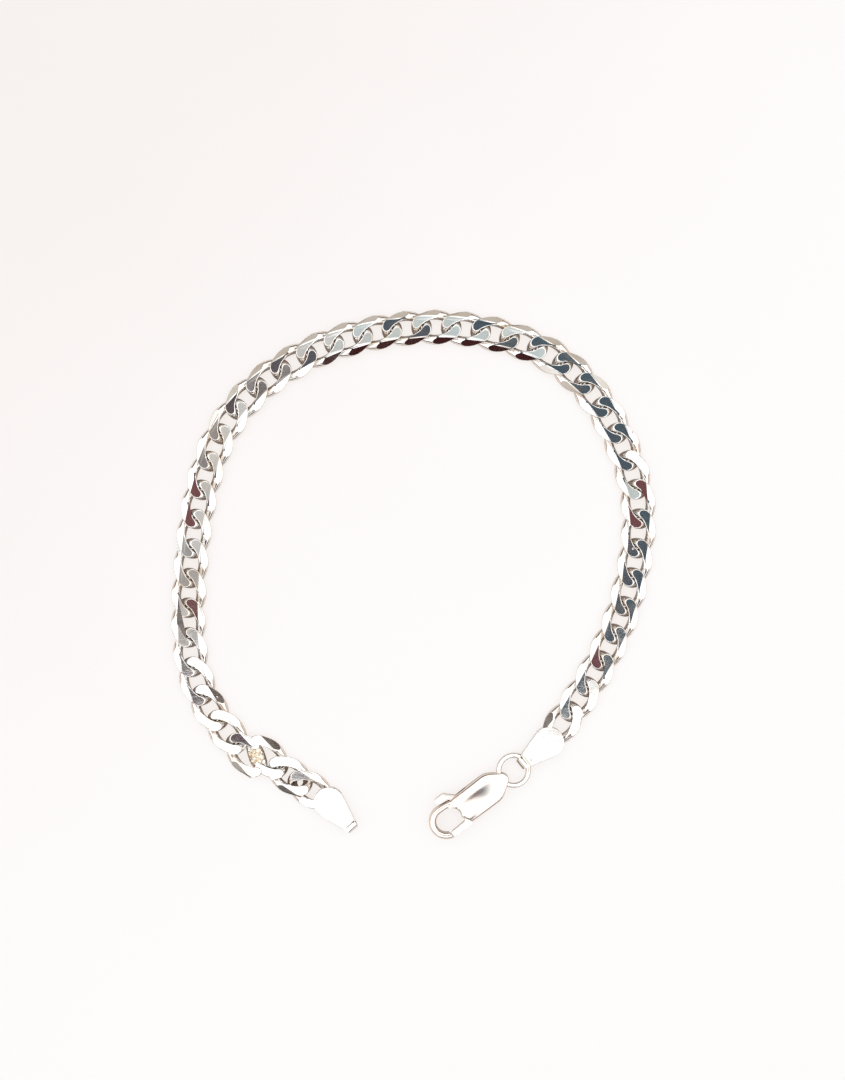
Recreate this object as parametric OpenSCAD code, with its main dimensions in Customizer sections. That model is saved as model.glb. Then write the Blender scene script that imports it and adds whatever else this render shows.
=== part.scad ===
// Curb link bracelet, laid open on a table: bevelled links on one long curve, a
// teardrop cap soldered to each end link, a jump ring and a trigger clasp.
// Millimetres. The table is z = 0 and the clasp end lies on the right.

/* [Links] */
// Number of links in the whole chain, the two end links included
link_count = 42; // [38:1:44]
// Distance from the centre of one link to the centre of the next
link_pitch = 4.22; // [4.0:0.02:4.5]
// Width of the chain across a link
chain_width = 5.0; // [4.8:0.05:5.4]
// Height of the chain between its two ground faces
chain_height = 1.5; // [1.4:0.05:1.7]
// Thickness of the wire that the links are bent from
wire_d = 1.4; // [1.2:0.05:1.45]
// Free play between two links that hang in each other
link_play = 0.12; // [0.08:0.01:0.2]
// Angle by which a link's ends are twisted out of its plane
link_twist = 46; // [44:1:49]
// Squareness of the link's oval, where 2 is an ellipse
link_square = 2.6; // [2.5:0.1:2.9]
// Width of the flat top between the two long ridges
table_width = 3.0; // [2.8:0.05:3.2]
// Slope of the bevel outside each ridge
bevel_slope = 30; // [26:1:34]
// Height of the plain edge that is left between the two bevels
edge_height = 0.2; // [0.1:0.05:0.3]

/* [Soldered joint] */
// Diameter of the larger grains of the solder lump
solder_d = 1.15; // [1.0:0.05:1.3]
// Diameter of the pits in the solder lump
pit_d = 0.4; // [0.3:0.05:0.5]
// Height of the lump's middle above the middle of the links
solder_rise = 0.1; // [0:0.05:0.2]

/* [End caps] */
// Length of a cap from its round end to its fold
cap_length = 7.45; // [7.2:0.05:8.2]
// Width of a cap at its round end
cap_width = 4.3; // [4.1:0.1:4.8]
// Width of a cap at its fold
fold_width = 1.4; // [1.2:0.1:1.6]
// Height of a cap over both of its plates
cap_height = 1.6; // [1.55:0.05:1.8]
// Thickness of the plate that a cap is folded from
cap_wall = 0.35; // [0.25:0.05:0.4]
// Distance from an end link's centre to the centre of the cap's round end
cap_reach = 3.2; // [2.9:0.1:3.4]
// Width of the seam across the cap near its fold
seam_w = 0.12; // [0.08:0.02:0.2]
// Distance of the seam from the end of the fold
seam_back = 1.15; // [1.0:0.05:1.4]

/* [Jump ring] */
// Outer diameter of the jump ring
ring_d = 5.0; // [4.8:0.1:5.6]
// Thickness of the jump ring's wire
ring_wire = 0.75; // [0.6:0.05:0.8]

/* [Clasp] */
// Length of the clasp from its tail to the end of its hook
clasp_length = 13.3; // [12.8:0.1:13.8]
// Width of the clasp's body at its shoulders
clasp_width = 4.5; // [4.3:0.1:4.8]
// Width of the body at its waist, behind the hook's opening
waist_width = 4.4; // [4.2:0.1:4.6]
// Height of the clasp's body at its crown
clasp_height = 2.9; // [2.8:0.05:3.2]
// Radius of the crown across the body
crown_across = 4.9; // [4.6:0.1:5.2]
// Radius of the crown along the body
crown_along = 22; // [20:1:26]
// Distance of the crown's highest point from the tail
crown_x = 5.6; // [5.2:0.1:6.0]
// Distance of the shoulders from the tail
shoulder_x = 3.2; // [3.1:0.1:3.6]
// Distance of the waist behind the hook's opening
waist_back = 0.6; // [0.4:0.1:0.8]
// Width of the clasp's tail
tail_width = 1.9; // [1.7:0.1:2.1]
// Metal left between the jump ring's passage and the end of the tail
tail_wall = 0.26; // [0.22:0.01:0.4]
// Width of the clasp across its hook
hook_width = 5.0; // [4.8:0.1:5.4]
// Width of the hook's bar
hook_bar = 1.05; // [0.95:0.05:1.2]
// Height of the hook's bar
hook_height = 1.9; // [1.7:0.05:2.1]
// Length of the opening inside the hook
hook_opening = 3.8; // [3.5:0.1:4.1]
// Angle by which the body's front edge slants back beside the gate
lip_slant = 28; // [20:1:32]

/* [Lever] */
// Thickness of the lever
lever_height = 1.1; // [0.9:0.05:1.2]
// Angle by which the lever opens
lever_swing = 25; // [20:1:28]
// Diameter of the lever's pin
pin_d = 0.7; // [0.6:0.05:0.8]
// Distance of the pin behind the hook's opening
pin_back = 1.6; // [1.4:0.1:1.8]
// Distance of the pin from the clasp's middle line, on the gate's side
pin_side = 0.9; // [0.7:0.1:1.1]
// Metal left over each end of the pin
pin_cover = 0.45; // [0.4:0.05:0.5]
// Metal round the pin in the lever's hub
hub_wall = 0.55; // [0.5:0.05:0.65]
// Width of the gate at its tip
gate_tip_width = 0.85; // [0.75:0.05:0.95]
// Width of the gate where it leaves the body
gate_base_width = 1.05; // [0.95:0.05:1.15]
// Width of the arm between the hub and the knob
arm_width = 0.72; // [0.6:0.04:0.8]
// Distance by which each half of the arm leans towards the hook
arm_lean = 1.05; // [0.95:0.05:1.15]
// Diameter of the thumb knob
knob_d = 0.9; // [0.8:0.05:1.0]
// Length of the thumb knob
knob_length = 2.0; // [1.8:0.1:2.2]
// Gap round the lever, its pin and the jump ring
fit_gap = 0.1; // [0.08:0.01:0.12]

/* [Hidden] */
$fn = 48;
wire_sides = 6;
wire_steps = 20;

// Route of the chain's centre line, from the fourth link round to the right end
route = [
    [-23.85, -25.65], [-26.75, -22.30], [-29.25, -18.75], [-31.00, -15.00],
    [-31.75, -11.00], [-32.00, -5.00], [-31.50, 2.50], [-30.50, 10.00],
    [-28.25, 18.00], [-25.00, 23.50], [-20.25, 28.00], [-13.00, 32.00],
    [-5.00, 34.25], [3.25, 35.00], [11.50, 34.00], [19.50, 31.00],
    [25.50, 25.50], [29.75, 18.00], [32.00, 10.00], [31.50, 2.00],
    [29.50, -6.25], [25.75, -14.25], [20.95, -21.65], [18.45, -24.40]
];
// The route point that carries the chain's middle link, and that link's number
middle_point = 13;
middle_link = 24;

// Links before the route, each placed in the frame of the link after it:
// shift along and across it as shares of the pitch, and turn in degrees
ALONG = 0; ACROSS = 1; TURN = 2;
loose_end = [
    [-0.53, -0.49, 2],
    [-0.98, -0.11, 12],
    [-0.84, -0.01, 1]
];
first_route_link = len(loose_end) + 1;
// Turn of each cap against its end link, and of the clasp against the right cap
left_cap_turn = -14;
right_cap_turn = -14.5;
clasp_turn = -1.8;

link_a = (link_pitch + wire_d + link_play) / 2;
link_b = (chain_width - wire_d) / 2;
link_mid = chain_height / 2;
bevel_reach = (chain_height - edge_height) / 2 / tan(bevel_slope);

cap_mid = cap_height / 2;
cap_r = cap_width / 2;
fold_x = cap_length - cap_r;
fold_axis = fold_x - cap_mid;

ring_r = (ring_d - ring_wire) / 2;
clasp_mid = clasp_height / 2;
ring_tilt = asin((clasp_mid - cap_mid) / (2 * ring_r));
ring_run = ring_r * cos(ring_tilt);
eye_r = fold_width / 2 + cap_mid * (cap_r - fold_width / 2) / fold_x;
fold_sag = ring_r - sqrt(ring_r * ring_r - eye_r * eye_r);

passage_r = ring_wire / 2 + fit_gap;
tail_r = tail_width / 2;
tail_sag = ring_r - sqrt(ring_r * ring_r - tail_r * tail_r);
passage_start = tail_wall + passage_r;
passage_end = passage_start + tail_sag;

body_r = clasp_width / 2;
waist_r = waist_width / 2;
hook_r = hook_width / 2;
hook_x = clasp_length - hook_r;
opening_r = hook_r - hook_bar;
opening_far = clasp_length - hook_bar - opening_r;
opening_near = opening_far - (hook_opening - 2 * opening_r);
lip_x = opening_near - opening_r;
waist_x = lip_x - waist_back;
// Lift that keeps the crown's two profiles from touching in one line
crown_lift = 0.02;
crown_steps = 4;

pin = [lip_x - pin_back, pin_side];
pin_length = clasp_height - 2 * pin_cover;
hub_r = pin_d / 2 + hub_wall;
gate_y = hook_r - hook_bar / 2;
gate_tip = [hook_x, gate_y];
gate_tip_r = gate_tip_width / 2;
gate_reach = norm(gate_tip - pin) + gate_tip_r;
gate_base = [lip_x, gate_y];
arm_r = arm_width / 2;
knob_r = knob_d / 2;
elbow = [pin[0] + arm_lean, arm_r / 2 - body_r];
knob_back = [elbow[0] + arm_lean, -(hook_r + fit_gap + knob_r)];
knob_front = knob_back + [knob_length - knob_d, 0];
slot_height = lever_height + 2 * fit_gap;
slot_front = (elbow[0] + knob_back[0]) / 2 + arm_r + fit_gap;

function link_name(n) = str("link_", n < 10 ? "0" : "", n);
own_links = [for (n = [2 : link_count - 1]) if (n != first_route_link - 1 && n != first_route_link) n];

// The route as a smooth curve with its stations along the length

curve_steps = 8;
last_point = len(route) - 1;

function route_at(i) =
    i < 0 ? 2 * route[0] - route[1] :
    i > last_point ? 2 * route[last_point] - route[last_point - 1] : route[i];

function curve_at(i, f) =
    let (a = route_at(i - 1), b = route_at(i), c = route_at(i + 1), d = route_at(i + 2))
    (2 * b + (c - a) * f + (2 * a - 5 * b + 4 * c - d) * f * f
        + (3 * b - a - 3 * c + d) * f * f * f) / 2;

curve = concat(
    [for (i = [0 : last_point - 1]) for (k = [0 : curve_steps - 1]) curve_at(i, k / curve_steps)],
    [route[last_point]]
);
last_sample = len(curve) - 1;
stations = [for (i = 0, s = 0; i <= last_sample;
    s = s + (i < last_sample ? norm(curve[i + 1] - curve[i]) : 0), i = i + 1) s];

function span_of(s) =
    s <= 0 ? 0 :
    s >= stations[last_sample] ? last_sample - 1 :
    max([for (i = [0 : last_sample - 1]) if (stations[i] <= s) i]);

function along(s) =
    let (i = span_of(s), f = (s - stations[i]) / (stations[i + 1] - stations[i]))
    curve[i] + f * (curve[i + 1] - curve[i]);

// A place is [x, y, turn]

function heading(v) = atan2(v[1], v[0]);
function turned(v, a) = [v[0] * cos(a) - v[1] * sin(a), v[0] * sin(a) + v[1] * cos(a)];
function stepped(place, v, turn) =
    let (p = [place[0], place[1]] + turned(v, place[2])) [p[0], p[1], place[2] + turn];

// The slot reaches back to the hub, or to the arm where the open lever holds it
slot_back = min(-hub_r, turned(elbow - pin, -lever_swing)[0] - arm_r) + pin[0] - 2 * fit_gap;

function joint_before(n) =
    along(stations[middle_point * curve_steps] + (n - middle_link - 0.5) * link_pitch);

function route_place(n) =
    let (a = joint_before(n), b = joint_before(n + 1), c = (a + b) / 2)
    [c[0], c[1], heading(b - a)];

function link_place(n) =
    n >= first_route_link ? route_place(n) :
    let (step = loose_end[first_route_link - 1 - n])
    stepped(link_place(n + 1), link_pitch * [step[ALONG], step[ACROSS]], step[TURN]);

left_cap_place = stepped(link_place(1), [-cap_reach, 0], 180 + left_cap_turn);
right_cap_place = stepped(link_place(link_count), [cap_reach, 0], right_cap_turn);
ring_place = stepped(right_cap_place, [fold_axis - fold_sag + ring_run, 0], clasp_turn);
clasp_place = stepped(ring_place, [ring_run - passage_end, 0], 0);

module at(place) {
    translate([place[0], place[1], 0]) rotate([0, 0, place[2]]) children();
}

// One link: a twisted oval of wire, ground flat on top and below and bevelled

function squared(v) = sign(v) * pow(abs(v), 2 / link_square);
function twist_at(t) = link_twist * squared(cos(t));
function link_centre(t) =
    let (y = link_b * squared(sin(t)), twist = twist_at(t))
    [link_a * squared(cos(t)), y * cos(twist), -y * sin(twist)];

function unit(v) = v / norm(v);

function wire_ring(t) =
    let (
        c = link_centre(t),
        twist = twist_at(t),
        run = unit(link_centre(t + 1) - link_centre(t - 1)),
        out = unit(cross(run, [0, sin(twist), cos(twist)])),
        up = cross(out, run)
    )
    [for (k = [0 : wire_sides - 1])
        let (q = 360 * k / wire_sides) c + wire_d / 2 * (out * cos(q) + up * sin(q))];

module link_wire() {
    points = [for (i = [0 : wire_steps - 1]) each wire_ring(360 * i / wire_steps)];
    function id(i, k) = (i % wire_steps) * wire_sides + k % wire_sides;
    faces = [for (i = [0 : wire_steps - 1]) for (k = [0 : wire_sides - 1]) each [
        [id(i, k), id(i, k + 1), id(i + 1, k + 1)],
        [id(i, k), id(i + 1, k + 1), id(i + 1, k)]
    ]];
    polyhedron(points, faces, convexity = 6);
}

module ground_form() {
    ridge = table_width / 2;
    side = ridge + bevel_reach;
    top = chain_height / 2;
    edge = edge_height / 2;
    rotate([90, 0, 90])
        linear_extrude(2 * link_a + 2 * wire_d, center = true)
            polygon([
                [ridge, top], [-ridge, top], [-side, edge], [-side, -edge],
                [-ridge, -top], [ridge, -top], [side, -edge], [side, edge]
            ]);
}

module link_body() {
    translate([0, 0, link_mid]) intersection() {
        link_wire();
        ground_form();
    }
}

module link(n) {
    color("silver") at(link_place(n)) link_body();
}

// The two links that lie side by side, with the lump of solder that joins them:
// grains and pits as shares of the solder's diameter from the middle of the pair

grains = [
    [0.00, 0.00, 0.00], [0.55, 0.35, -0.10], [-0.55, -0.35, -0.10], [0.30, -0.60, 0.00],
    [-0.30, 0.60, 0.00], [0.70, -0.25, -0.20], [-0.70, 0.25, -0.20]
];
pits = [[0.40, 0.75], [-0.45, 0.15], [0.10, -0.20], [0.75, 0.05], [-0.15, -0.80]];

module solder_lump() {
    r = solder_d / 2;
    difference() {
        for (g = grains) translate(g * solder_d) sphere(r);
        for (p = pits) translate([p[0] * solder_d, p[1] * solder_d, r * 0.85]) sphere(pit_d / 2);
    }
}

module soldered_links() {
    a = link_place(first_route_link - 1);
    b = link_place(first_route_link);
    color("silver") union() {
        link(first_route_link - 1);
        link(first_route_link);
        at([(a[0] + b[0]) / 2, (a[1] + b[1]) / 2, b[2]])
            translate([0, 0, link_mid + solder_rise]) solder_lump();
    }
}

// A cap: one plate folded over at its narrow end, soldered over the end link

module cap_outline() {
    corner = [fold_x, fold_width / 2];
    lean = heading(corner) + acos(cap_r / norm(corner));
    circle(cap_r);
    polygon([
        corner, [corner[0], -corner[1]],
        cap_r * [cos(lean), -sin(lean)], cap_r * [cos(lean), sin(lean)]
    ]);
}

module fold_profile(r) {
    translate([fold_axis, cap_mid]) circle(r);
    translate([-cap_width, cap_mid - r]) square([fold_axis + cap_width, 2 * r]);
}

module cap_body() {
    difference() {
        intersection() {
            linear_extrude(cap_height) cap_outline();
            rotate([90, 0, 0]) linear_extrude(cap_width, center = true) difference() {
                fold_profile(cap_mid);
                fold_profile(cap_mid - cap_wall);
            }
        }
        translate([fold_x - seam_back - seam_w, -cap_r, cap_height - cap_wall / 2])
            cube([seam_w, cap_width, cap_wall]);
    }
}

module end_cap_left() {
    color("white") union() {
        at(left_cap_place) cap_body();
        link(1);
    }
}

module end_cap_right() {
    color("white") union() {
        at(right_cap_place) cap_body();
        link(link_count);
    }
}

module jump_ring() {
    color("gainsboro") at(ring_place)
        translate([0, 0, (cap_mid + clasp_mid) / 2])
            rotate([0, -ring_tilt, 0])
                rotate_extrude() translate([ring_r, 0]) circle(ring_wire / 2, $fn = 24);
}

// Outline of two discs and the straight tangents between them

module bar(a, ra, b, rb) {
    q = heading(b - a);
    h = acos((ra - rb) / norm(b - a));
    translate(a) circle(ra);
    translate(b) circle(rb);
    polygon([
        a + ra * [cos(q + h), sin(q + h)], a + ra * [cos(q - h), sin(q - h)],
        b + rb * [cos(q - h), sin(q - h)], b + rb * [cos(q + h), sin(q + h)]
    ]);
}

module hook_opening_shape() {
    bar([opening_near, 0], opening_r, [opening_far, 0], opening_r);
}

module shell_outline() {
    difference() {
        union() {
            bar([tail_r, 0], tail_r, [shoulder_x, 0], body_r);
            bar([shoulder_x, 0], body_r, [waist_x, 0], waist_r);
        }
        hook_opening_shape();
        translate([lip_x, opening_r / 2]) polygon([
            [0, 0], [clasp_length, 0], [clasp_length, clasp_width],
            clasp_width * [-tan(lip_slant), 1]
        ]);
    }
}

module crown_across_profile() {
    half = asin(hook_r / crown_across);
    arc = [for (k = [-crown_steps : crown_steps])
        crown_across * [sin(half * k / crown_steps), cos(half * k / crown_steps) - 1]];
    polygon(concat(
        [for (p = arc) [p[0], clasp_height + crown_lift + p[1]]],
        [for (k = [2 * crown_steps : -1 : 0]) [arc[k][0], -crown_lift - arc[k][1]]]
    ));
}

module crown_along_profile() {
    intersection() {
        translate([crown_x, clasp_height - crown_along]) circle(crown_along, $fn = 256);
        translate([crown_x, crown_along]) circle(crown_along, $fn = 256);
    }
}

module shell() {
    intersection() {
        translate([0, 0, -clasp_height]) linear_extrude(3 * clasp_height) shell_outline();
        translate([-tail_r, 0, 0]) rotate([90, 0, 90])
            linear_extrude(clasp_length + tail_width) crown_across_profile();
        rotate([90, 0, 0]) linear_extrude(2 * clasp_width, center = true) crown_along_profile();
    }
}

module hook() {
    translate([0, 0, clasp_mid - hook_height / 2]) linear_extrude(hook_height) difference() {
        bar([waist_x, 0], waist_r, [hook_x, 0], hook_r);
        hook_opening_shape();
        intersection() {
            translate(pin) circle(gate_reach + fit_gap);
            translate([waist_x, opening_r / 2]) square(clasp_length);
        }
    }
}

module lever_slot() {
    translate([0, 0, clasp_mid - slot_height / 2]) linear_extrude(slot_height) {
        translate([slot_back, -clasp_width]) square([slot_front - slot_back, 2 * clasp_width]);
        translate([slot_back, 0]) square([opening_near - slot_back, clasp_width]);
    }
}

module tail_passage() {
    translate([0, 0, clasp_mid]) rotate([90, 0, 0]) linear_extrude(2 * clasp_width, center = true)
        bar([passage_start, 0], passage_r, [passage_end, 0], passage_r);
}

module clasp_body() {
    color("gainsboro") at(clasp_place) difference() {
        union() {
            shell();
            hook();
        }
        lever_slot();
        tail_passage();
        translate([pin[0], pin[1], clasp_mid])
            cylinder(d = pin_d + fit_gap, h = pin_length + fit_gap, center = true);
    }
}

module clasp_lever() {
    color("whitesmoke") at(clasp_place)
        translate([0, 0, clasp_mid - lever_height / 2]) linear_extrude(lever_height) difference() {
            union() {
                bar(gate_tip, gate_tip_r, gate_base, gate_base_width / 2);
                bar(gate_base, gate_base_width / 2, pin, hub_r);
                bar(pin, hub_r, elbow, arm_r);
                bar(elbow, arm_r, knob_back, arm_r);
                bar(knob_back, knob_r, knob_front, knob_r);
            }
            translate(pin) circle(d = pin_d + 2 * fit_gap);
        }
}

module clasp_pin() {
    color("dimgray") at(clasp_place) translate([pin[0], pin[1], clasp_mid])
        cylinder(d = pin_d, h = pin_length, center = true);
}

end_cap_left();
soldered_links();
for (n = own_links) link(n);
end_cap_right();
jump_ring();
clasp_body();
clasp_lever();
clasp_pin();
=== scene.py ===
"""A silver curb link bracelet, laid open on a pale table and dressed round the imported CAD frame.

Sizes are in millimetres, as in the CAD source. A piece is built in its own millimetres, round its own
origin, and its mesh is scaled to metres when it is set down at its place in the frame.
"""

import logging
import math
import random
from collections.abc import Callable, Iterable, Iterator
from contextlib import contextmanager
from dataclasses import dataclass, field
from enum import Enum
from functools import cached_property

import bmesh
import bpy
from bmesh.types import BMesh, BMVert
from bpy.types import Material, Node, NodeSocket, NodeTree, Object
from mathutils import Matrix, Vector, geometry, noise


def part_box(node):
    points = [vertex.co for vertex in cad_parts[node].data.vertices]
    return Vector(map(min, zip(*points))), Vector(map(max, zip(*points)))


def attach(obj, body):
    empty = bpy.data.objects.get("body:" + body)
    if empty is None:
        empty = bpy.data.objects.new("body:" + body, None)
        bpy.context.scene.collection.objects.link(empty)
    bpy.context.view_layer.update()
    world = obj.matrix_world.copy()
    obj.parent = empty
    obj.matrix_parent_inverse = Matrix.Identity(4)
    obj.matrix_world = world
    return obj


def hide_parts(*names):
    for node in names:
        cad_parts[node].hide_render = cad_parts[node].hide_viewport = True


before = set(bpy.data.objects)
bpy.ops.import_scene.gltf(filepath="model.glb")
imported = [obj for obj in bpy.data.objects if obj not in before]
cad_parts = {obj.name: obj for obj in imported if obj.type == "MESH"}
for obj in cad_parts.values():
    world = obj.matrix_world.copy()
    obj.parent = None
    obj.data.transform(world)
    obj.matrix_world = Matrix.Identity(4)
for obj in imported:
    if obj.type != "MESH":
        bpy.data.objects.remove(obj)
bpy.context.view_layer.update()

log = logging.getLogger("bracelet")

MM = 0.001
BODY = "bracelet"
LEVER_BODY = "lever"
Colour = tuple[float, float, float]
Disc = tuple[float, float, float]
Spot = tuple[float, float]
Plane = tuple[Iterable[float], Iterable[float]]

# Distances in mm under which two corners count as one, or a corner counts as on a plane.
MERGED = 1e-4
ON_PLANE = 1e-5

# The least upward part of the normal of a face that counts as level.
FACING_UP = 0.9


def srgb(red: int, green: int, blue: int) -> Colour:
    """Turns a display colour, each channel from 0 to 255, into the linear values that shaders take."""

    def linear(value: int) -> float:
        """One channel, by the sRGB curve."""
        share = value / 255
        return share / 12.92 if share <= 0.04045 else ((share + 0.055) / 1.055) ** 2.4

    return linear(red), linear(green), linear(blue)


def aim(degrees: float) -> Vector:
    """The level direction of length 1 at an angle."""
    angle = math.radians(degrees)
    return Vector((math.cos(angle), math.sin(angle)))


def swell(value: float, power: float) -> float:
    """Raises a sine or cosine to a power and keeps its sign, which squares or rounds an oval."""
    return math.copysign(abs(value) ** power, value)


@dataclass(frozen=True)
class Place:
    """A spot on the table in millimetres, with its turn in degrees."""

    x: float
    y: float
    turn: float

    def stepped(self, along: float, across: float, turn: float = 0.0) -> "Place":
        """Steps to a place further along this one's heading, to the left of it, and turned from it."""
        angle = math.radians(self.turn)
        return Place(
            self.x + along * math.cos(angle) - across * math.sin(angle),
            self.y + along * math.sin(angle) + across * math.cos(angle),
            self.turn + turn,
        )

    def into_frame(self, height: float = 0.0) -> Matrix:
        """The matrix from a piece's own millimetres to the frame's metres, raised by a height."""
        spot = Matrix.Translation((self.x, self.y, height))
        return Matrix.Scale(MM, 4) @ spot @ Matrix.Rotation(math.radians(self.turn), 4, "Z")

    def own_direction(self, x: float, y: float) -> Vector:
        """A direction on the table, told in this place's own directions."""
        return Matrix.Rotation(-math.radians(self.turn), 3, "Z") @ Vector((x, y, 0.0))


def new_object(name: str, bm: BMesh) -> Object:
    """Makes an object of a finished shape, links it to the scene and frees the bmesh."""
    mesh = bpy.data.meshes.new(name)
    bm.to_mesh(mesh)
    bm.free()
    made = bpy.data.objects.new(name, mesh)
    bpy.context.scene.collection.objects.link(made)
    return made


@contextmanager
def reopened(made: Object) -> Iterator[BMesh]:
    """Opens an object's mesh for more work, and writes it back at the end."""
    bm = bmesh.new()
    bm.from_mesh(made.data)
    yield bm
    bm.to_mesh(made.data)
    bm.free()


def bake_modifiers(made: Object) -> None:
    """Turns an object's live modifiers into its mesh."""
    bpy.context.view_layer.update()
    graph = bpy.context.evaluated_depsgraph_get()
    baked = bpy.data.meshes.new_from_object(made.evaluated_get(graph))
    old = made.data
    made.modifiers.clear()
    made.data = baked
    bpy.data.meshes.remove(old)


def carve(base: Object, tool: BMesh, operation: str) -> None:
    """Joins a shape to an object (UNION) or cuts it out (DIFFERENCE), and uses the shape up."""
    other = new_object("tool", tool)
    joined = base.modifiers.new("carve", "BOOLEAN")
    joined.operation = operation
    joined.solver = "EXACT"
    joined.object = other
    bake_modifiers(base)
    mesh = other.data
    bpy.data.objects.remove(other)
    bpy.data.meshes.remove(mesh)


def recast(made: Object, voxel: float) -> None:
    """Melts an object's parts into one skin of small even faces."""
    melted = made.modifiers.new("recast", "REMESH")
    melted.mode = "VOXEL"
    melted.voxel_size = voxel
    bake_modifiers(made)


def cut_through(bm: BMesh, plane: Plane, near: float = ON_PLANE, clear: bool = False) -> list[BMVert]:
    """Cuts a shape along a plane.

    Args:
        bm: The shape.
        plane: A spot on the plane, and its direction.
        near: How near a corner has to be to count as on the plane.
        clear: Whether what lies beyond the plane goes.

    Returns:
        The corners on the plane.
    """
    geom = [*bm.verts, *bm.edges, *bm.faces]
    point, outward = plane
    cut = bmesh.ops.bisect_plane(
        bm, geom=geom, dist=near, plane_co=point, plane_no=outward, clear_outer=clear
    )
    return [part for part in cut["geom_cut"] if isinstance(part, BMVert)]


def face_outward(bm: BMesh) -> None:
    """Turns every face of a closed shape outward."""
    bmesh.ops.recalc_face_normals(bm, faces=bm.faces[:])


def smooth(bm: BMesh) -> None:
    """Shades every face smooth."""
    for face in bm.faces:
        face.smooth = True


def shade(bm: BMesh, sharp_angle: float) -> None:
    """Shades every face smooth, with a sharp edge wherever two faces meet at more than an angle."""
    limit = math.radians(sharp_angle)
    smooth(bm)
    for edge in bm.edges:
        edge.smooth = len(edge.link_faces) == 2 and edge.calc_face_angle(0.0) < limit


def hull_outline(discs: Iterable[Disc], sides: int = 64) -> list[Spot]:
    """The outline, in order, of some discs (x, y and radius) and their outer tangents."""
    turns = [math.tau * k / sides for k in range(sides)]
    spots = [(x + r * math.cos(t), y + r * math.sin(t)) for x, y, r in discs for t in turns]
    return [spots[k] for k in geometry.convex_hull_2d(spots)]


def prism(outline: Iterable[Spot], low: float, high: float) -> BMesh:
    """A closed prism over an outline's corners, from one level to another."""
    bm = bmesh.new()
    face = bm.faces.new([bm.verts.new((x, y, low)) for x, y in outline])
    made = bmesh.ops.extrude_face_region(bm, geom=[face])["geom"]
    risen = [part for part in made if isinstance(part, BMVert)]
    bmesh.ops.translate(bm, verts=risen, vec=(0, 0, high - low))
    bmesh.ops.holes_fill(bm, edges=bm.edges[:], sides=0)
    face_outward(bm)
    return bm


def loft(rings: list[list[Vector]]) -> BMesh:
    """A closed skin through a row of rings with equally many corners, flat over the first and last."""
    bm = bmesh.new()
    rows = [[bm.verts.new(spot) for spot in ring] for ring in rings]
    for row, following in zip(rows, rows[1:]):
        for k in range(len(row)):
            bm.faces.new((row[k - 1], row[k], following[k], following[k - 1]))
    bm.faces.new(rows[0])
    bm.faces.new(rows[-1])
    face_outward(bm)
    return bm


def round_rims(bm: BMesh, width: float, segments: int, least_angle: float = 55.0) -> None:
    """Rounds each level edge at which two faces meet at more than an angle.

    Args:
        bm: The shape, whose rims lie level.
        width: How far the rounding reaches from the edge.
        segments: Faces across the rounding.
        least_angle: The least angle between two faces that counts as a rim, in degrees.
    """
    rims = [
        edge
        for edge in bm.edges
        if abs(edge.verts[0].co.z - edge.verts[1].co.z) < MERGED
        and edge.calc_face_angle(0.0) > math.radians(least_angle)
    ]
    bmesh.ops.bevel(
        bm,
        geom=rims,
        offset=width,
        offset_type="OFFSET",
        segments=segments,
        profile=0.5,
        affect="EDGES",
        clamp_overlap=False,
        material=-1,
    )


def soften(bm: BMesh, rounds: int) -> None:
    """Smooths a shape's corners away, round after round."""
    for _ in range(rounds):
        bmesh.ops.smooth_vert(
            bm, verts=bm.verts[:], factor=0.5, use_axis_x=True, use_axis_y=True, use_axis_z=True
        )


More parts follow.
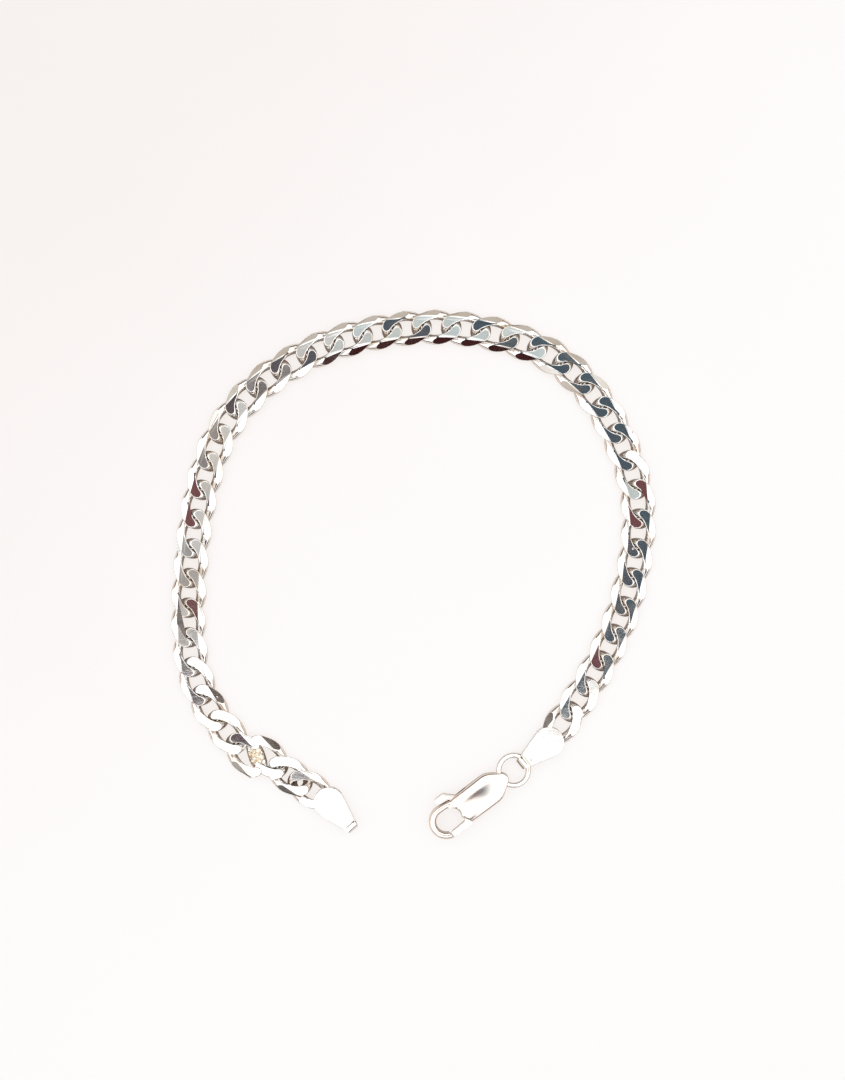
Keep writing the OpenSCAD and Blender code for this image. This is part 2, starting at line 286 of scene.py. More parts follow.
class Sheet:
    """Adds nodes to one node tree and joins them."""

    def __init__(self, tree: NodeTree) -> None:
        """Starts on a tree that holds nothing yet."""
        self.tree = tree
        tree.nodes.clear()

    def add(self, kind: str, *inputs: object, **values: object) -> Node:
        """Adds a node and fills it in.

        Args:
            kind: The node's type, without its leading ShaderNode.
            *inputs: Values or sockets for its first inputs, in order.
            **values: The node's own settings, in lower case, and inputs by name, with _ for a space.

        Returns:
            The node.
        """
        prefix = "" if kind.startswith("NodeGroup") else "ShaderNode"
        node = self.tree.nodes.new(prefix + kind)
        for key in filter(str.islower, values):
            setattr(node, key, values[key])
        named = {key.replace("_", " "): value for key, value in values.items() if not key.islower()}
        for place, value in [*enumerate(inputs), *named.items()]:
            self.put(node.inputs[place], value)
        return node

    def put(self, socket: NodeSocket, value: object) -> None:
        """Joins another socket to an input, or sets the input to a value."""
        if isinstance(value, NodeSocket):
            self.tree.links.new(value, socket)
        elif socket.type == "RGBA":
            socket.default_value = (*value, 1.0)
        else:
            socket.default_value = value

    def maths(self, operation: str, *values: object) -> NodeSocket:
        """Works on numbers or sockets with a Math node, and returns its result."""
        return self.add("Math", *values, operation=operation).outputs[0]

    def times(self, first: object, second: object) -> NodeSocket:
        """Multiplies two numbers or sockets."""
        return self.maths("MULTIPLY", first, second)

    def ease(self, value: object, low: float, high: float) -> NodeSocket:
        """A smooth step from 0 at low to 1 at high, which may also run downwards."""
        return self.add("MapRange", value, low, high, interpolation_type="SMOOTHSTEP").outputs["Result"]

    def window(self, value: object, low: float, high: float, soft: float) -> NodeSocket:
        """1 between two values and 0 outside them, with soft ends."""
        rising = self.ease(value, low - soft, low + soft)
        falling = self.ease(value, high + soft, high - soft)
        return self.times(rising, falling)

    def mix(self, share: object, first: object, second: object) -> NodeSocket:
        """Mixes two colours by a share."""
        node = self.add("Mix", share, data_type="RGBA", clamp_factor=True)
        self.put(node.inputs[6], first)
        self.put(node.inputs[7], second)
        return node.outputs[2]

    def ramp(self, value: object, stops: Iterable[tuple[float, Colour]]) -> NodeSocket:
        """Colours a value by stops along it."""
        node = self.add("ValToRGB", value)
        elements = node.color_ramp.elements
        while len(elements) > 1:
            elements.remove(elements[-1])
        for i, (position, colour) in enumerate(stops):
            element = elements[0] if i == 0 else elements.new(position)
            element.position = position
            element.color = (*colour, 1.0)
        return node.outputs["Color"]

    def noise(self, vector: object, scale: object, detail: float = 2.0) -> NodeSocket:
        """A noise value from 0 to 1."""
        return self.add("TexNoise", Vector=vector, Scale=scale, Detail=detail).outputs[0]


def make_group(
    name: str,
    inputs: dict[str, str],
    outputs: dict[str, str],
    build: Callable[[Sheet, Node], dict[str, NodeSocket]],
) -> NodeTree:
    """Builds a shader node group.

    Args:
        name: Name of the group.
        inputs: Each input's name with its kind.
        outputs: Each output's name with its kind.
        build: Adds the nodes, and returns the socket for each output.

    Returns:
        The group.
    """
    tree = bpy.data.node_groups.new(name, "ShaderNodeTree")
    sheet = Sheet(tree)
    for direction, sockets in (("INPUT", inputs), ("OUTPUT", outputs)):
        for key, kind in sockets.items():
            tree.interface.new_socket(name=key, in_out=direction, socket_type="NodeSocket" + kind)
    entry = sheet.add("NodeGroupInput")
    leave = sheet.add("NodeGroupOutput")
    for key, socket in build(sheet, entry).items():
        tree.links.new(socket, leave.inputs[key])
    return tree


SCRATCH_TURN = 0.7
SCRATCH_STRETCH = (900.0, 14000.0, 900.0)
SCRATCH_ONSET = (0.52, 0.72)
PATCH_ONSET = (0.42, 0.68)
SPECKS_PER_M = 9000.0
SPECK_ROUGHNESS = 0.03
PIT_EDGE = (0.14, 0.05)


def build_polish(sheet: Sheet, entry: Node) -> dict[str, NodeSocket]:
    """Shallow ripples left by the polishing wheel, and fine scratches over them, as a height in mm."""
    where = entry.outputs["Vector"]
    ripple = sheet.noise(where, entry.outputs["Ripples per m"], 1.0)
    ripple_height = sheet.times(ripple, entry.outputs["Ripple Height"])
    stretch = sheet.add("Mapping", Vector=where, Rotation=(0.0, 0.0, SCRATCH_TURN), Scale=SCRATCH_STRETCH)
    hair = sheet.noise(stretch.outputs[0], 1.0, 2.0)
    hair_height = sheet.times(sheet.ease(hair, *SCRATCH_ONSET), entry.outputs["Scratch Depth"])
    return {"Height": sheet.maths("SUBTRACT", ripple_height, hair_height)}


def build_patina(sheet: Sheet, entry: Node) -> dict[str, NodeSocket]:
    """Cloudy patches where handling has warmed and dulled the silver."""
    where = entry.outputs["Vector"]
    cloud = sheet.noise(where, entry.outputs["Patches per m"], 3.0)
    mask = sheet.ease(cloud, *PATCH_ONSET)
    speck = sheet.noise(where, SPECKS_PER_M, 1.0)
    colour = sheet.mix(mask, entry.outputs["Clean"], entry.outputs["Dull"])
    extra = sheet.times(mask, entry.outputs["Haze"])
    grain = sheet.maths("MULTIPLY_ADD", speck, SPECK_ROUGHNESS, extra)
    return {"Colour": colour, "Roughness": sheet.maths("ADD", grain, entry.outputs["Roughness"])}


def build_pits(sheet: Sheet, entry: Node) -> dict[str, NodeSocket]:
    """A few small pits scattered over the metal, as a mask."""
    cells = sheet.add("TexVoronoi", Vector=entry.outputs["Vector"], Scale=entry.outputs["Cells per m"])
    near = sheet.ease(cells.outputs["Distance"], *PIT_EDGE)
    chance = sheet.add("SeparateColor", cells.outputs["Color"])
    chosen = sheet.maths("GREATER_THAN", chance.outputs[0], entry.outputs["Rarity"])
    return {"Mask": sheet.times(near, chosen)}


POLISH = make_group(
    "Polish marks",
    {"Vector": "Vector", "Ripples per m": "Float", "Ripple Height": "Float", "Scratch Depth": "Float"},
    {"Height": "Float"},
    build_polish,
)
PATINA = make_group(
    "Patina",
    {
        "Vector": "Vector",
        "Patches per m": "Float",
        "Clean": "Color",
        "Dull": "Color",
        "Haze": "Float",
        "Roughness": "Float",
    },
    {"Colour": "Color", "Roughness": "Float"},
    build_patina,
)
PITS = make_group(
    "Pits",
    {"Vector": "Vector", "Cells per m": "Float", "Rarity": "Float"},
    {"Mask": "Float"},
    build_pits,
)


@dataclass(frozen=True)
class Silver:
    """A finish of sterling silver: its colours, its polish and what has marked it."""

    name: str
    clean: Colour = (0.955, 0.945, 0.925)
    dull: Colour = (0.90, 0.86, 0.80)
    roughness: float = 0.08
    haze: float = 0.05
    patches: float = 300.0
    ripples: float = 900.0
    ripple_height: float = 0.004
    scratch_depth: float = 0.0004
    pit_cells: float = 900.0
    pit_rarity: float = 0.93
    pit_depth: float = 0.02
    pit_colour: Colour = (0.30, 0.24, 0.18)

    def material(self) -> Material:
        """Builds the finish as a material."""
        made = bpy.data.materials.new(self.name)
        made.use_nodes = True
        sheet = Sheet(made.node_tree)
        where = sheet.add("TexCoord").outputs["Object"]
        polish = sheet.add(
            "Group",
            node_tree=POLISH,
            Vector=where,
            Ripples_per_m=self.ripples,
            Ripple_Height=self.ripple_height,
            Scratch_Depth=self.scratch_depth,
        )
        patina = sheet.add(
            "Group",
            node_tree=PATINA,
            Vector=where,
            Patches_per_m=self.patches,
            Clean=self.clean,
            Dull=self.dull,
            Haze=self.haze,
            Roughness=self.roughness,
        )
        pits = sheet.add(
            "Group", node_tree=PITS, Vector=where, Cells_per_m=self.pit_cells, Rarity=self.pit_rarity
        )
        sunk = sheet.times(pits.outputs["Mask"], self.pit_depth)
        height = sheet.maths("SUBTRACT", polish.outputs["Height"], sunk)
        silver = sheet.add(
            "BsdfPrincipled",
            Base_Color=sheet.mix(pits.outputs["Mask"], patina.outputs["Colour"], self.pit_colour),
            Roughness=patina.outputs["Roughness"],
            Normal=sheet.add("Bump", Height=height, Distance=MM).outputs[0],
            Metallic=1.0,
        )
        sheet.add("OutputMaterial", silver.outputs[0])
        return made


CUT_SILVER = Silver("diamond_cut_silver", roughness=0.05, haze=0.04, ripple_height=0.0012, ripples=700.0)
WIRE_SILVER = Silver(
    "drawn_wire_silver",
    dull=(0.90, 0.84, 0.77),
    roughness=0.12,
    haze=0.08,
    ripple_height=0.003,
    ripples=1500.0,
)
CAP_SILVER = Silver(
    "pressed_plate_silver",
    roughness=0.06,
    haze=0.04,
    ripple_height=0.0008,
    pit_rarity=0.97,
    scratch_depth=0.0006,
)
RING_SILVER = Silver("round_ring_silver", roughness=0.08, haze=0.05)
CLASP_SILVER = Silver(
    "polished_clasp_silver",
    clean=(0.972, 0.905, 0.85),
    dull=(0.95, 0.86, 0.79),
    roughness=0.15,
    haze=0.05,
    ripple_height=0.0012,
    ripples=400.0,
)
SOLDER_SILVER = Silver(
    "silver_solder",
    clean=(0.93, 0.87, 0.74),
    dull=(0.60, 0.44, 0.28),
    roughness=0.24,
    haze=0.20,
    patches=1800.0,
    ripples=4200.0,
    ripple_height=0.03,
    pit_cells=2600.0,
    pit_rarity=0.55,
    pit_depth=0.06,
    pit_colour=(0.16, 0.10, 0.05),
)
PIN_STEEL = Silver("pin_steel", clean=(0.60, 0.60, 0.60), dull=(0.45, 0.42, 0.40), roughness=0.25)


class Cut(Enum):
    """How far a link's flats lean outward from the bow, in degrees, which picks what they mirror."""

    MAROON = -1.8
    BROWN = -1.2
    DARK = 0.0
    SLATE = 0.9
    GREY = 1.05
    LIGHT = 2.1
    WHITE = 3.7


CUT_LETTERS = {cut.name[0]: cut for cut in Cut}


@dataclass(frozen=True)
class Grind:
    """How one link's upper faces are ground: its two flats' slopes and the slopes of its bevels."""

    rear: Vector
    front: Vector
    outer_slope: float
    inner_slope: float


@dataclass(frozen=True)
class Route:
    """The chain's centre line, and where each link lies on it."""

    points: tuple[Spot, ...] = (
        (-23.85, -25.65), (-26.75, -22.30), (-29.25, -18.75), (-31.00, -15.00),
        (-31.75, -11.00), (-32.00, -5.00), (-31.50, 2.50), (-30.50, 10.00),
        (-28.25, 18.00), (-25.00, 23.50), (-20.25, 28.00), (-13.00, 32.00),
        (-5.00, 34.25), (3.25, 35.00), (11.50, 34.00), (19.50, 31.00),
        (25.50, 25.50), (29.75, 18.00), (32.00, 10.00), (31.50, 2.00),
        (29.50, -6.25), (25.75, -14.25), (20.95, -21.65), (18.45, -24.40),
    )  # fmt: skip
    middle_point: int = 13
    middle_link: int = 24
    link_count: int = 42
    link_pitch: float = 4.22
    curve_steps: int = 8
    # From each link before the line to the next one: along and across in pitches, and turn in degrees.
    loose_end: tuple[tuple[float, float, float], ...] = (
        (-0.53, -0.49, 2.0),
        (-0.98, -0.11, 12.0),
        (-0.84, -0.01, 1.0),
    )

    @property
    def first_link(self) -> int:
        """The number of the first link that lies on the line."""
        return len(self.loose_end) + 1

    def _point(self, index: int) -> Vector:
        """A point of the line, also one step beyond either end."""
        last = len(self.points) - 1
        if index < 0:
            return 2 * Vector(self.points[0]) - Vector(self.points[1])
        if index > last:
            return 2 * Vector(self.points[last]) - Vector(self.points[last - 1])
        return Vector(self.points[index])

    @cached_property
    def curve(self) -> list[Vector]:
        """The smooth line through the points, as short straight steps."""
        line = []
        for i in range(len(self.points) - 1):
            a, b, c, d = (self._point(i + k) for k in (-1, 0, 1, 2))
            for step in range(self.curve_steps):
                f = step / self.curve_steps
                bend = (2 * a - 5 * b + 4 * c - d) * f * f + (3 * b - a - 3 * c + d) * f * f * f
                line.append((2 * b + (c - a) * f + bend) / 2)
        return [*line, self._point(len(self.points) - 1)]

    @cached_property
    def stations(self) -> list[float]:
        """The length along the line at each of its steps."""
        lengths = [0.0]
        for a, b in zip(self.curve, self.curve[1:]):
            lengths.append(lengths[-1] + (b - a).length)
        return lengths

    def _along(self, length: float) -> Vector:
        """The point at a length along the line."""
        spans = range(len(self.curve) - 1)
        i = max((k for k in spans if self.stations[k] <= length), default=0)
        share = (length - self.stations[i]) / (self.stations[i + 1] - self.stations[i])
        return self.curve[i].lerp(self.curve[i + 1], share)

    def _joint_before(self, number: int) -> Vector:
        """Where a link meets the one before it."""
        middle = self.stations[self.middle_point * self.curve_steps]
        return self._along(middle + (number - self.middle_link - 0.5) * self.link_pitch)

    def link_place(self, number: int) -> Place:
        """The place of a link's centre, heading along the chain; link 1 is at the left end."""
        if number >= self.first_link:
            start = self._joint_before(number)
            end = self._joint_before(number + 1)
            middle = (start + end) / 2
            heading = math.degrees(math.atan2(end.y - start.y, end.x - start.x))
            return Place(middle.x, middle.y, heading)
        along, across, turn = self.loose_end[self.first_link - 1 - number]
        after = self.link_place(number + 1)
        return after.stepped(self.link_pitch * along, self.link_pitch * across, turn)


@dataclass(frozen=True)
class CurbLink:
    """One link: a twisted oval of wire, ground flat on top and below and bevelled along its sides."""

    pitch: float = 4.22
    width: float = 4.95
    height: float = 1.5
    wire: float = 1.4
    play: float = 0.12
    twist: float = 46.0
    squareness: float = 2.6
    table_width: float = 2.95
    bevel_slope: float = 30.0
    sides: int = 22
    stations: int = 84
    rim: float = 0.085
    rim_drop: float = 0.03
    shortest_edge: float = 0.03
    truing_rounds: int = 50

    WIRE_INDEX = 0
    CUT_INDEX = 1

    def _squared(self, value: float) -> float:
        """Swells a sine or cosine, so that the link's oval is squarer than an ellipse."""
        return swell(value, 2 / self.squareness)

    def _twist_at(self, angle: float) -> float:
        """The link's twist at an angle round it, in radians."""
        return math.radians(self.twist * self._squared(math.cos(math.radians(angle))))

    def centre(self, angle: float) -> Vector:
        """The middle of the wire at an angle round the link, in degrees."""
        t = math.radians(angle)
        twist = self._twist_at(angle)
        y = (self.width - self.wire) / 2 * self._squared(math.sin(t))
        x = (self.pitch + self.wire + self.play) / 2 * self._squared(math.cos(t))
        return Vector((x, y * math.cos(twist), -y * math.sin(twist)))

    def _section(self, angle: float) -> Matrix:
        """The matrix that sets a round section of the wire across it at an angle."""
        twist = self._twist_at(angle)
        run = (self.centre(angle + 1) - self.centre(angle - 1)).normalized()
        out = run.cross(Vector((0.0, math.sin(twist), math.cos(twist)))).normalized()
        up = out.cross(run)
        turned = Matrix((out, up, out.cross(up))).transposed().to_4x4()
        return Matrix.Translation(self.centre(angle)) @ turned

    def wire_loop(self) -> BMesh:
        """The twisted oval of round wire, before it is ground."""
        bm = bmesh.new()
        rings = []
        for i in range(self.stations):
            made = bmesh.ops.create_circle(
                bm, segments=self.sides, radius=self.wire / 2, matrix=self._section(360 * i / self.stations)
            )
            rings.append(list(dict.fromkeys(edge for vert in made["verts"] for edge in vert.link_edges)))
        for ring, following in zip(rings, [*rings[1:], rings[0]]):
            bmesh.ops.bridge_loops(bm, edges=ring + following)
        face_outward(bm)
        return bm

    def _grind(self, bm: BMesh, plane: Plane) -> None:
        """Grinds the link down to one plane and closes it with cut faces."""
        corners = cut_through(bm, plane, clear=True)
        bmesh.ops.remove_doubles(bm, verts=corners, dist=self.shortest_edge)
        open_edges = [edge for edge in bm.edges if edge.is_boundary]
        for face in bmesh.ops.holes_fill(bm, edges=open_edges, sides=0)["faces"]:
            face.material_index = self.CUT_INDEX

    def _true_up(self, bm: BMesh, planes: list[tuple[Vector, Vector]], grind: Grind) -> None:
        """Sets the cut faces' corners on their planes, and leans the two upper flats.

        Args:
            bm: The ground link.
            planes: A spot on each plane and its direction.
            grind: How the flats lean.
        """
        cut_faces = [face for face in bm.faces if face.material_index == self.CUT_INDEX]
        owners = []
        for face in cut_faces:
            point, outward = max(planes, key=lambda plane: plane[1].dot(face.normal))
            if outward.z > FACING_UP:
                slope = grind.front if face.calc_center_median().x > 0 else grind.rear
                point = face.calc_center_median()
                outward = Vector((slope.x, slope.y, 1)).normalized()
            owners.append((point, outward))
        for _ in range(self.truing_rounds):
            for face, (point, outward) in zip(cut_faces, owners):
                for vert in face.verts:
                    vert.co -= outward * (vert.co - point).dot(outward)

    def body(self, grind: Grind) -> BMesh:
        """Builds the whole link round its own centre, with its upper faces ground in a given way."""
        bm = self.wire_loop()
        top = self.height / 2
        ridge = self.table_width / 2
        planes = [(Vector((0, 0, level * top)), Vector((0, 0, level))) for level in (1, -1)]
        for side, upper_slope in ((1, grind.outer_slope), (-1, grind.inner_slope)):
            for level, slope in ((1, upper_slope), (-1, self.bevel_slope)):
                lean = math.radians(slope)
                outward = Vector((0, side * math.sin(lean), level * math.cos(lean)))
                planes.append((Vector((0, side * ridge, level * top)), outward))
        for plane in planes:
            self._grind(bm, plane)
        face_outward(bm)
        self._true_up(bm, planes, grind)
        self._ease_rims(bm)
        return bm

    def _ease_rims(self, bm: BMesh) -> None:
        """Draws a narrow eased rim round each cut face, and shades cut faces flat and the wire smooth."""
        cut_faces = [face for face in bm.faces if face.material_index == self.CUT_INDEX]
        drawn = bmesh.ops.inset_individual(bm, faces=cut_faces, thickness=self.rim, use_even_offset=True)
        rims = drawn["faces"]
        for face in rims:
            face.material_index = self.WIRE_INDEX
        bm.normal_update()
        inner = {vert for face in cut_faces for vert in face.verts}
        outer = {vert for face in rims for vert in face.verts} - inner
        eased = {vert: vert.co - vert.normal * self.rim_drop for vert in outer}
        for vert, spot in eased.items():
            vert.co = spot
        for face in bm.faces:
            face.smooth = face.material_index == self.WIRE_INDEX
        bm.normal_update()


@dataclass(frozen=True)
class EndCap:
    """A teardrop plate folded over at its narrow end, closed over the end link."""

    length: float = 7.45
    width: float = 4.3
    fold_width: float = 1.4
    height: float = 1.6
    wall: float = 0.35
    seam_width: float = 0.12
    seam_back: float = 1.15
    seam_depth: float = 0.08
    scar_length: float = 0.9
    scar_depth: float = 0.2
    rim: float = 0.08
    seam_rim: float = 0.02
    fold_steps: int = 10
    end_sides: int = 96
    sharp_angle: float = 30.0

    @property
    def round_radius(self) -> float:
        """Radius of the round end."""
        return self.width / 2

    @property
    def fold_x(self) -> float:
        """Distance from the round end's centre to the outside of the fold."""
        return self.length - self.round_radius

    @property
    def fold_axis(self) -> float:
        """Distance from the round end's centre to the axis that the plate is folded round."""
        return self.fold_x - self.height / 2

    def half_width(self, x: float) -> float:
        """Half the plate's width at a distance from the round end's centre, along its straight sides."""
        corner = Vector((self.fold_x, self.fold_width / 2))
        lean = math.atan2(corner.y, corner.x) + math.acos(self.round_radius / corner.length)
        return (self.round_radius - x * math.cos(lean)) / math.sin(lean)

    def body(self) -> BMesh:
        """Builds the folded plate, with its seam near the fold."""
        mid = self.height / 2
        narrow = self.half_width(self.fold_axis)
        end = [(self.fold_axis, narrow, 0.0), (self.fold_axis, -narrow, 0.0)]
        bm = prism(hull_outline([(0.0, 0.0, self.round_radius), *end], self.end_sides), mid - self.wall, mid)
        self._fold(bm)
        self._cut_seam(bm)
        round_rims(bm, self.rim, 3)
        shade(bm, self.sharp_angle)
        for face in bm.faces:
            face.smooth = face.calc_area() < self.wall
        bmesh.ops.translate(bm, verts=bm.verts[:], vec=(0, 0, mid))
        return bm

    def _fold(self, bm: BMesh) -> None:
        """Carries the plate's narrow end round the fold and back as the lower plate."""
        reach = self.fold_axis - MERGED
        end = [face for face in bm.faces if all(vert.co.x > reach for vert in face.verts)]
        edges = list(dict.fromkeys(edge for face in end for edge in face.edges))
        bmesh.ops.delete(bm, geom=end, context="FACES_ONLY")
        verts = list(dict.fromkeys(vert for edge in edges for vert in edge.verts))
        bmesh.ops.spin(
            bm,
            geom=edges + verts,
            cent=(self.fold_axis, 0, 0),
            axis=(0, 1, 0),
            angle=math.pi / 2,
            steps=self.fold_steps,
            use_merge=False,
            use_duplicate=False,
        )
        narrow = self.half_width(self.fold_axis)
        for vert in bm.verts:
            if vert.co.x > self.fold_axis + MERGED:
                vert.co.y *= self.half_width(min(vert.co.x, self.fold_x)) / narrow
        whole = [*bm.verts, *bm.edges, *bm.faces]
        bmesh.ops.mirror(bm, geom=whole, matrix=Matrix(), merge_dist=10 * MERGED, axis="Z")
        bmesh.ops.remove_doubles(bm, verts=bm.verts[:], dist=MERGED)
        face_outward(bm)

    def _cut_seam(self, bm: BMesh) -> None:
        """Sinks the seam into the upper plate, deepest in its middle."""
        start = self.fold_x - self.seam_back - self.seam_width
        end = self.fold_x - self.seam_back
        half = self.scar_length / 2
        for plane in (
            ((start, 0, 0), (1, 0, 0)),
            ((end, 0, 0), (1, 0, 0)),
            ((0, half, 0), (0, 1, 0)),
            ((0, -half, 0), (0, 1, 0)),
        ):
            cut_through(bm, plane)
        bm.normal_update()
        for face in [f for f in bm.faces if f.normal.z > FACING_UP]:
            middle = face.calc_center_median()
            if start < middle.x < end and middle.z > 0:
                deep = abs(middle.y) < half
                depth = self.scar_depth if deep else self.seam_depth
                bmesh.ops.inset_individual(bm, faces=[face], thickness=self.seam_rim, depth=-depth)


@dataclass(frozen=True)
class SolderLump:
    """The rough lump of solder between two links that lie side by side."""

    diameter: float = 1.15
    rise: float = 0.1
    pit: float = 0.4
    pit_depth: float = 0.22
    swells: tuple[Spot, ...] = ((0.05, 2.3), (0.03, 6.1))
    voxel: float = 0.045
    melt_rounds: int = 3
    grains: tuple[tuple[float, float, float], ...] = (
        (0.00, 0.00, 0.00), (0.55, 0.35, -0.10), (-0.55, -0.35, -0.10), (0.30, -0.60, 0.00),
        (-0.30, 0.60, 0.00), (0.70, -0.25, -0.20), (-0.70, 0.25, -0.20),
    )  # fmt: skip
    pits: tuple[Spot, ...] = (
        (0.40, 0.75), (-0.45, 0.15), (0.10, -0.20), (0.75, 0.05), (-0.15, -0.80),
    )  # fmt: skip

    def piece(self, name: str) -> Object:
        """Builds the lump as an object in its own millimetres."""
        bm = bmesh.new()
        for grain in self.grains:
            spot = Matrix.Translation(Vector(grain) * self.diameter)
            bmesh.ops.create_icosphere(bm, subdivisions=4, radius=self.diameter / 2, matrix=spot)
        lump = new_object(name, bm)
        recast(lump, self.voxel)
        with reopened(lump) as bm:
            soften(bm, self.melt_rounds)
            bm.normal_update()
            moves = {vert: self._push(vert.co) for vert in bm.verts}
            for vert, push in moves.items():
                vert.co += vert.normal * push
            bm.normal_update()
            smooth(bm)
        return lump

    def _push(self, spot: Vector) -> float:
        """How far the surface stands proud or sinks at a spot."""
        push = sum(height * noise.noise(spot * rate) for height, rate in self.swells)
        for x, y in self.pits:
            away = (Vector((x, y)) * self.diameter - spot.xy).length / (self.pit / 2)
            if away < 1 and spot.z > 0:
                push -= self.pit_depth * (1 - away * away)
        return push


@dataclass(frozen=True)
class JumpRing:
    """The closed ring of round wire between the right cap and the clasp."""

    diameter: float = 5.0
    wire: float = 0.75
    sides: int = 28
    steps: int = 120

    @property
    def radius(self) -> float:
        """Radius of the wire's middle."""
        return (self.diameter - self.wire) / 2

    def body(self, tilt: float) -> BMesh:
        """Builds the ring round its own centre, rising towards the clasp by a tilt in degrees."""
        bm = bmesh.new()
        across = Matrix.Translation((self.radius, 0, 0)) @ Matrix.Rotation(math.pi / 2, 4, "X")
        bmesh.ops.create_circle(bm, segments=self.sides, radius=self.wire / 2, matrix=across)
        bmesh.ops.spin(
            bm,
            geom=[*bm.verts, *bm.edges],
            axis=(0, 0, 1),
            angle=math.tau,
            steps=self.steps,
            use_merge=True,
            use_duplicate=False,
        )
        bmesh.ops.remove_doubles(bm, verts=bm.verts[:], dist=MERGED)
        face_outward(bm)
        tipped = Matrix.Rotation(-math.radians(tilt), 3, "Y")
        bmesh.ops.rotate(bm, verts=bm.verts[:], matrix=tipped)
        smooth(bm)
        return bm


@dataclass(frozen=True)
class TriggerClasp:
    """The clasp: its crowned body with the hook, and the lever that closes the hook."""

    ring: JumpRing = JumpRing()
    length: float = 13.3
    width: float = 4.5
    waist_width: float = 4.4
    height: float = 2.9
    crown_across: float = 4.9
    crown_along: float = 22.0
    crown_x: float = 5.6
    crown_flatness: float = 3.0
    shoulder_x: float = 3.2
    waist_back: float = 0.6
    tail_width: float = 1.9
    tail_wall: float = 0.26
    hook_width: float = 5.0
    hook_bar: float = 1.05
    hook_height: float = 1.9
    hook_opening: float = 3.8
    lip_slant: float = 28.0
    lever_height: float = 1.1
    lever_swing: float = 25.0
    pin_d: float = 0.7
    pin_back: float = 1.6
    pin_side: float = 0.9
    hub_wall: float = 0.55
    gate_tip_width: float = 0.85
    gate_base_width: float = 1.05
    arm_width: float = 0.72
    arm_lean: float = 1.05
    knob_d: float = 0.9
    knob_length: float = 2.0
    fit_gap: float = 0.1
    shell_rim: float = 0.3
    shell_play: float = 0.03
    hook_play: float = 0.05
    flare: float = 0.36
    flare_level: float = 0.88
    flare_steps: int = 6
    hook_root: float = 205.0
    hook_turn: float = 65.0
    hook_steps: int = 40
    bar_sides: int = 32
    bar_softness: float = 0.75
    grid: float = 0.3
    grid_merge: float = 1e-3
    passage_sides: int = 40
    sharp_angle: float = 32.0
    lever_voxel: float = 0.05
    lever_rounds: int = 5

    @property
    def passage_end(self) -> float:
        """How far into the tail the middle of the ring's wire reaches."""
        sag = self.ring.radius - math.sqrt(self.ring.radius**2 - (self.tail_width / 2) ** 2)
        return self.tail_wall + self.ring.wire / 2 + self.fit_gap + sag

    @property
    def middle(self) -> float:
        """Height of the clasp's middle plane."""
        return self.height / 2

    @property
    def hook_radius(self) -> float:
        """Outer radius of the hook."""
        return self.hook_width / 2

    @property
    def hook_x(self) -> float:
        """Where the hook's outer arc is centred."""
        return self.length - self.hook_radius

    @property
    def opening_radius(self) -> float:
        """Radius of the hook's opening."""
        return self.hook_radius - self.hook_bar

    @property
    def opening_far(self) -> float:
        """Centre of the opening's far arc."""
        return self.length - self.hook_bar - self.opening_radius

    @property
    def opening_near(self) -> float:
        """Centre of the opening's near arc."""
        return self.opening_far - (self.hook_opening - 2 * self.opening_radius)

    @property
    def lip_x(self) -> float:
        """Where the opening begins."""
        return self.opening_near - self.opening_radius

    @property
    def waist_x(self) -> float:
        """Centre of the body's front arc."""
        return self.lip_x - self.waist_back

    @property
    def pin(self) -> Vector:
        """The middle of the lever's pin."""
        return Vector((self.lip_x - self.pin_back, self.pin_side))

    @property
    def gate_side(self) -> float:
        """Distance of the gate's middle line from the clasp's."""
        return self.hook_radius - self.hook_bar / 2

    @property
    def elbow(self) -> Vector:
        """Where the lever's arm bends."""
        return Vector((self.pin.x + self.arm_lean, self.arm_width / 4 - self.width / 2))

    @property
    def knob(self) -> Vector:
        """The back end of the thumb knob."""
        side = self.hook_radius + self.fit_gap + self.knob_d / 2
        return Vector((self.elbow.x + self.arm_lean, -side))

    def crown(self, x: float, y: float) -> float:
        """Height of the crowned face over the clasp's middle plane."""
        side = self.width / 2
        edge_drop = self.crown_across - math.sqrt(self.crown_across**2 - side**2)
        across = edge_drop * abs(y / side) ** self.crown_flatness
        along = self.crown_along - math.sqrt(self.crown_along**2 - (x - self.crown_x) ** 2)
        return self.middle - across - along

    @property
    def _opening(self) -> list[Disc]:
        """The discs of the hook's opening."""
        return [(self.opening_near, 0.0, self.opening_radius), (self.opening_far, 0.0, self.opening_radius)]

    @property
    def _flares(self) -> list[tuple[float, float]]:
        """Levels through the body, and how much wider the opening is cut at each, to round its edges off."""
        shares = [k / self.flare_steps for k in range(self.flare_steps + 1)]
        upper = [(self.flare_level + self.flare * share, share) for share in shares]
        upper.append((self.height, 1.0))
        levels = [(-z, share) for z, share in reversed(upper)] + upper
        return [(z, self.shell_play + self.flare * (1 - math.sqrt(1 - share * share))) for z, share in levels]

    def _opening_cutter(self) -> BMesh:
        """The hook's opening, flared towards both faces of the body."""
        rings = []
        for z, wider in self._flares:
            outline = hull_outline([(x, y, radius + wider) for x, y, radius in self._opening])
            rings.append([Vector((x, y, z)) for x, y in outline])
        return loft(rings)

    def _lip_cutter(self) -> BMesh:
        """Everything before the body's slanting lip, flared like the opening."""
        side = self.opening_radius / 2
        far_side = side + 2 * self.width
        slant = 2 * self.width * math.tan(math.radians(self.lip_slant))
        rings = []
        for z, wider in self._flares:
            corner = self.opening_near - math.sqrt((self.opening_radius + wider) ** 2 - side**2)
            spots = ((corner, side), (self.length, side), (self.length, far_side), (corner - slant, far_side))
            rings.append([Vector((x, y, z)) for x, y in spots])
        return loft(rings)

